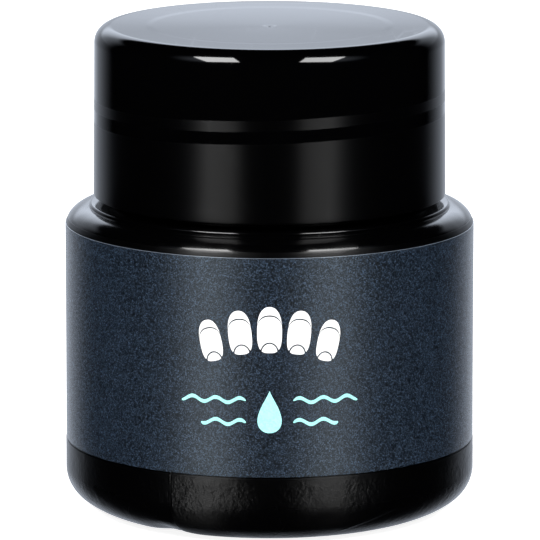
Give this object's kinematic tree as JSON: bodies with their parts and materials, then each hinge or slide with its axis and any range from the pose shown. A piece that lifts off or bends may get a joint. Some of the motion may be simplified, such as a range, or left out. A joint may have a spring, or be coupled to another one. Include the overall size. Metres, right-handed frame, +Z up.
{
  "type": "sponge jar with screw cap",
  "caption": "Round plastic jar with a wrap label, a foam plug with a finger hole and a smooth screw cap with a sealing wad.",
  "frame": {"origin": "centre of the base, on the surface that the jar stands on", "axes": "+Z up along the axis of the jar and its thread, -Y towards the front of the label as pictured, +X to the right of that view"},
  "size_m": [0.0582, 0.0582, 0.0695],
  "materials": {
    "jar_plastic": "satin",
    "label_film": "satin",
    "foam": "matte",
    "liner_foam": "matte",
    "cap_plastic": "gloss"
  },
  "bodies": {
    "jar_body": {"jar": "jar_plastic", "label": "label_film", "sponge": "foam"},
    "wad_body": {"cap_liner": "liner_foam"},
    "cap_body": {"cap": "cap_plastic"}
  },
  "joints": [
    {"name": "cap_rise", "type": "slide", "parent": "jar_body", "child": "wad_body", "axis": [0, 0, 1], "range_m": [0, 0.0424]},
    {"name": "cap_turn", "type": "hinge", "parent": "wad_body", "child": "cap_body", "pos_m": [0, 0, 0.068], "axis": [0, 0, 1], "range_deg": [0, 3600]}
  ],
  "couplings": [
    {"joint": "cap_rise", "follows": "cap_turn", "m_per_rad": 0.00067322}
  ]
}
